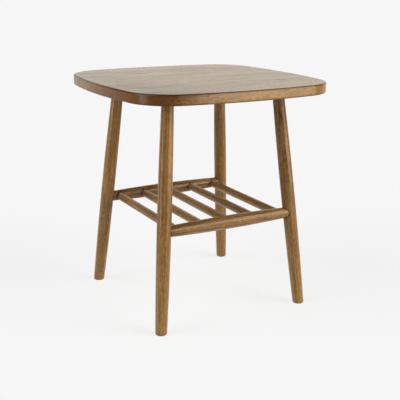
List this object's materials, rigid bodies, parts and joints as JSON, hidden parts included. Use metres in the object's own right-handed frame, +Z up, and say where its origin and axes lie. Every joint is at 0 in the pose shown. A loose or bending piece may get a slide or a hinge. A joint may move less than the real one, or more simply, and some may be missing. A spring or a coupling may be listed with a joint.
{
  "type": "end table with slatted shelf",
  "caption": "Square end table with bowed sides on four splayed turned legs, with a low shelf of straight dowels between two turned rails, in dark stained wood.",
  "frame": {"origin": "on the floor, under the middle of the top", "axes": "+Z up; X along the shelf's two rails and the grain of the top; Y along the shelf's dowels; the front is the -Y side"},
  "size_m": [0.5, 0.5, 0.53],
  "materials": {
    "stained_wood": "walnut stain under satin lacquer"
  },
  "bodies": {
    "root": {"top_board_1": "stained_wood", "top_board_2": "stained_wood", "top_board_3": "stained_wood", "top_board_4": "stained_wood", "top_board_5": "stained_wood", "top_board_6": "stained_wood", "top_board_7": "stained_wood", "leg_front_left": "stained_wood", "leg_front_right": "stained_wood", "leg_rear_left": "stained_wood", "leg_rear_right": "stained_wood", "rail_front": "stained_wood", "rail_rear": "stained_wood", "shelf_dowel_1": "stained_wood", "shelf_dowel_2": "stained_wood", "shelf_dowel_3": "stained_wood", "shelf_dowel_4": "stained_wood", "shelf_dowel_5": "stained_wood"}
  },
  "joints": []
}
